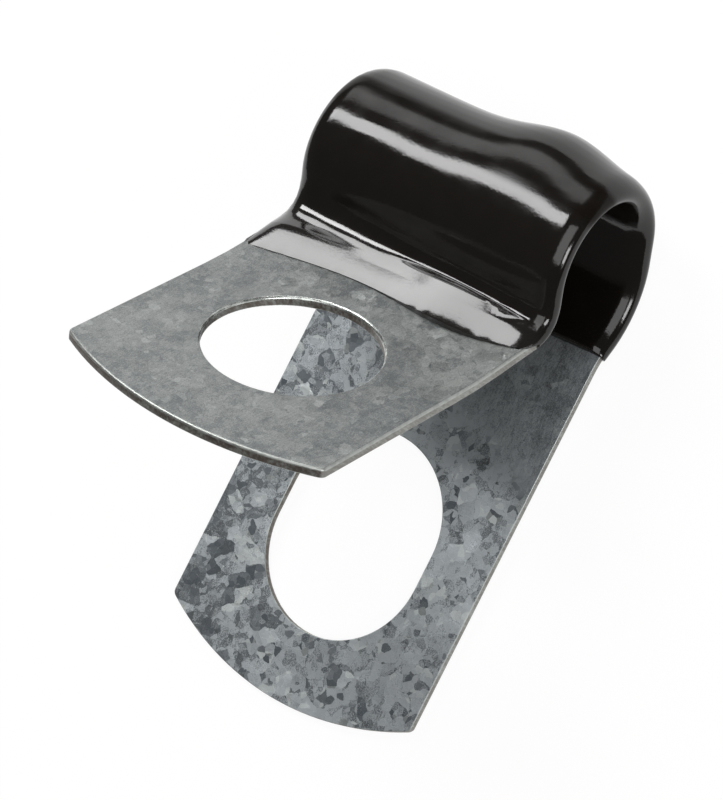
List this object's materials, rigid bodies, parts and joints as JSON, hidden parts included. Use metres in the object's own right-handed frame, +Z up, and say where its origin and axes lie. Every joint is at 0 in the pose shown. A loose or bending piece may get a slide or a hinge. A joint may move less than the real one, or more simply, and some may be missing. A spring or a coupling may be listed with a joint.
{
  "type": "steel pipe clamp",
  "caption": "Open strap clamp for a small pipe or line: folded galvanised strap with a bolt hole and a bolt slot, its loop dipped in glossy black vinyl.",
  "frame": {"origin": "middle of the pipe seat's axis, halfway across the strap", "axes": "+Y along the pipe seat's axis, across the strap; +X from the bare leg ends towards the loop; +Z up as the clamp lies on its lower leg"},
  "size_m": [0.0381, 0.0194, 0.0258],
  "materials": {
    "galvanised_steel": "hot-dip galvanised with a crystal spangle, satin",
    "black_vinyl": "glossy dipped vinyl"
  },
  "bodies": {
    "root": {"clamp_strap": "galvanised_steel", "vinyl_coat": "black_vinyl"}
  },
  "joints": []
}
